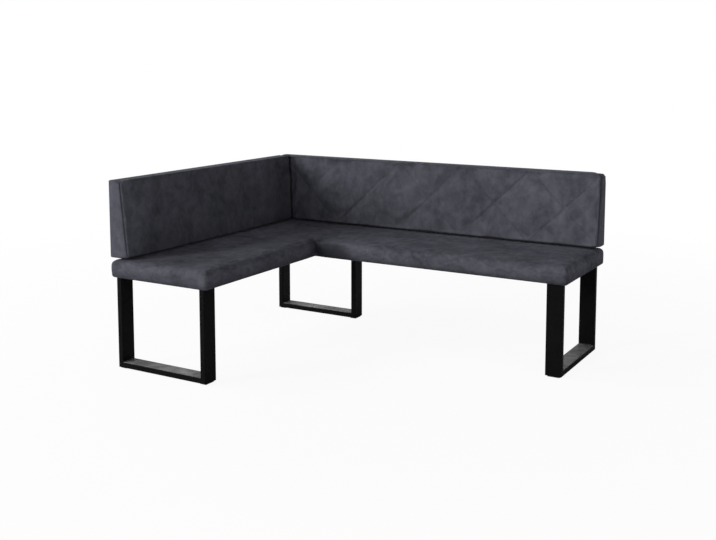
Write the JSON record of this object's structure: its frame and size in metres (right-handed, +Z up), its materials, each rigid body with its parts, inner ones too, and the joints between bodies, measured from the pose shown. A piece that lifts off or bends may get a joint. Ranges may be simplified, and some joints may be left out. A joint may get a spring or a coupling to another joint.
{
  "type": "corner bench",
  "caption": "Upholstered L-shaped corner bench with wedge backs, the long one diamond quilted, on flat steel tube leg frames.",
  "frame": {"origin": "on the floor, under the middle of the bench's bounding box", "axes": "+X along the long side towards its free end, +Y towards the rear of the long back, +Z up"},
  "size_m": [1.68, 1.285, 0.794],
  "materials": {
    "microfibre": "charcoal suede-like microfibre with a mottled nap",
    "foam": "cut polyurethane foam",
    "plywood": "unfinished plywood",
    "softwood": "planed softwood",
    "lining": "black non-woven lining",
    "powder_coat": "matt black powder coat",
    "glide_plastic": "black polyethylene",
    "zinc": "zinc plated"
  },
  "bodies": {
    "root": {"seat_cover": "microfibre", "long_back_cover": "microfibre", "short_back_cover": "microfibre", "seat_foam_long": "foam", "seat_foam_short": "foam", "long_back_foam": "foam", "short_back_foam": "foam", "deck_long": "plywood", "deck_short": "plywood", "long_back_board": "plywood", "short_back_board": "plywood", "rear_rail_long": "softwood", "front_rail_long": "softwood", "end_rail_right": "softwood", "side_rail_corner": "softwood", "cross_rail_long_1": "softwood", "cross_rail_long_2": "softwood", "end_rail_left": "softwood", "side_rail_short": "softwood", "front_rail_short": "softwood", "cross_rail_short": "softwood", "long_back_foot_rail": "softwood", "short_back_foot_rail": "softwood", "long_back_stile_1": "softwood", "long_back_stile_2": "softwood", "long_back_stile_3": "softwood", "short_back_stile_1": "softwood", "short_back_stile_2": "softwood", "dust_cover": "lining", "long_back_bracket_1": "powder_coat", "long_back_bracket_2": "powder_coat", "long_back_bracket_3": "powder_coat", "short_back_bracket_1": "powder_coat", "short_back_bracket_2": "powder_coat", "corner_plate": "powder_coat", "left_leg_rail": "powder_coat", "left_leg_wall_post": "powder_coat", "left_leg_room_post": "powder_coat", "left_leg_plate": "powder_coat", "corner_leg_rail": "powder_coat", "corner_leg_wall_post": "powder_coat", "corner_leg_room_post": "powder_coat", "corner_leg_plate": "powder_coat", "right_leg_rail": "powder_coat", "right_leg_wall_post": "powder_coat", "right_leg_room_post": "powder_coat", "right_leg_plate": "powder_coat", "left_leg_wall_glide": "glide_plastic", "left_leg_room_glide": "glide_plastic", "corner_leg_wall_glide": "glide_plastic", "corner_leg_room_glide": "glide_plastic", "right_leg_wall_glide": "glide_plastic", "right_leg_room_glide": "glide_plastic", "left_leg_wall_screw": "zinc", "left_leg_room_screw": "zinc", "corner_leg_wall_screw": "zinc", "corner_leg_room_screw": "zinc", "right_leg_wall_screw": "zinc", "right_leg_room_screw": "zinc"}
  },
  "joints": []
}
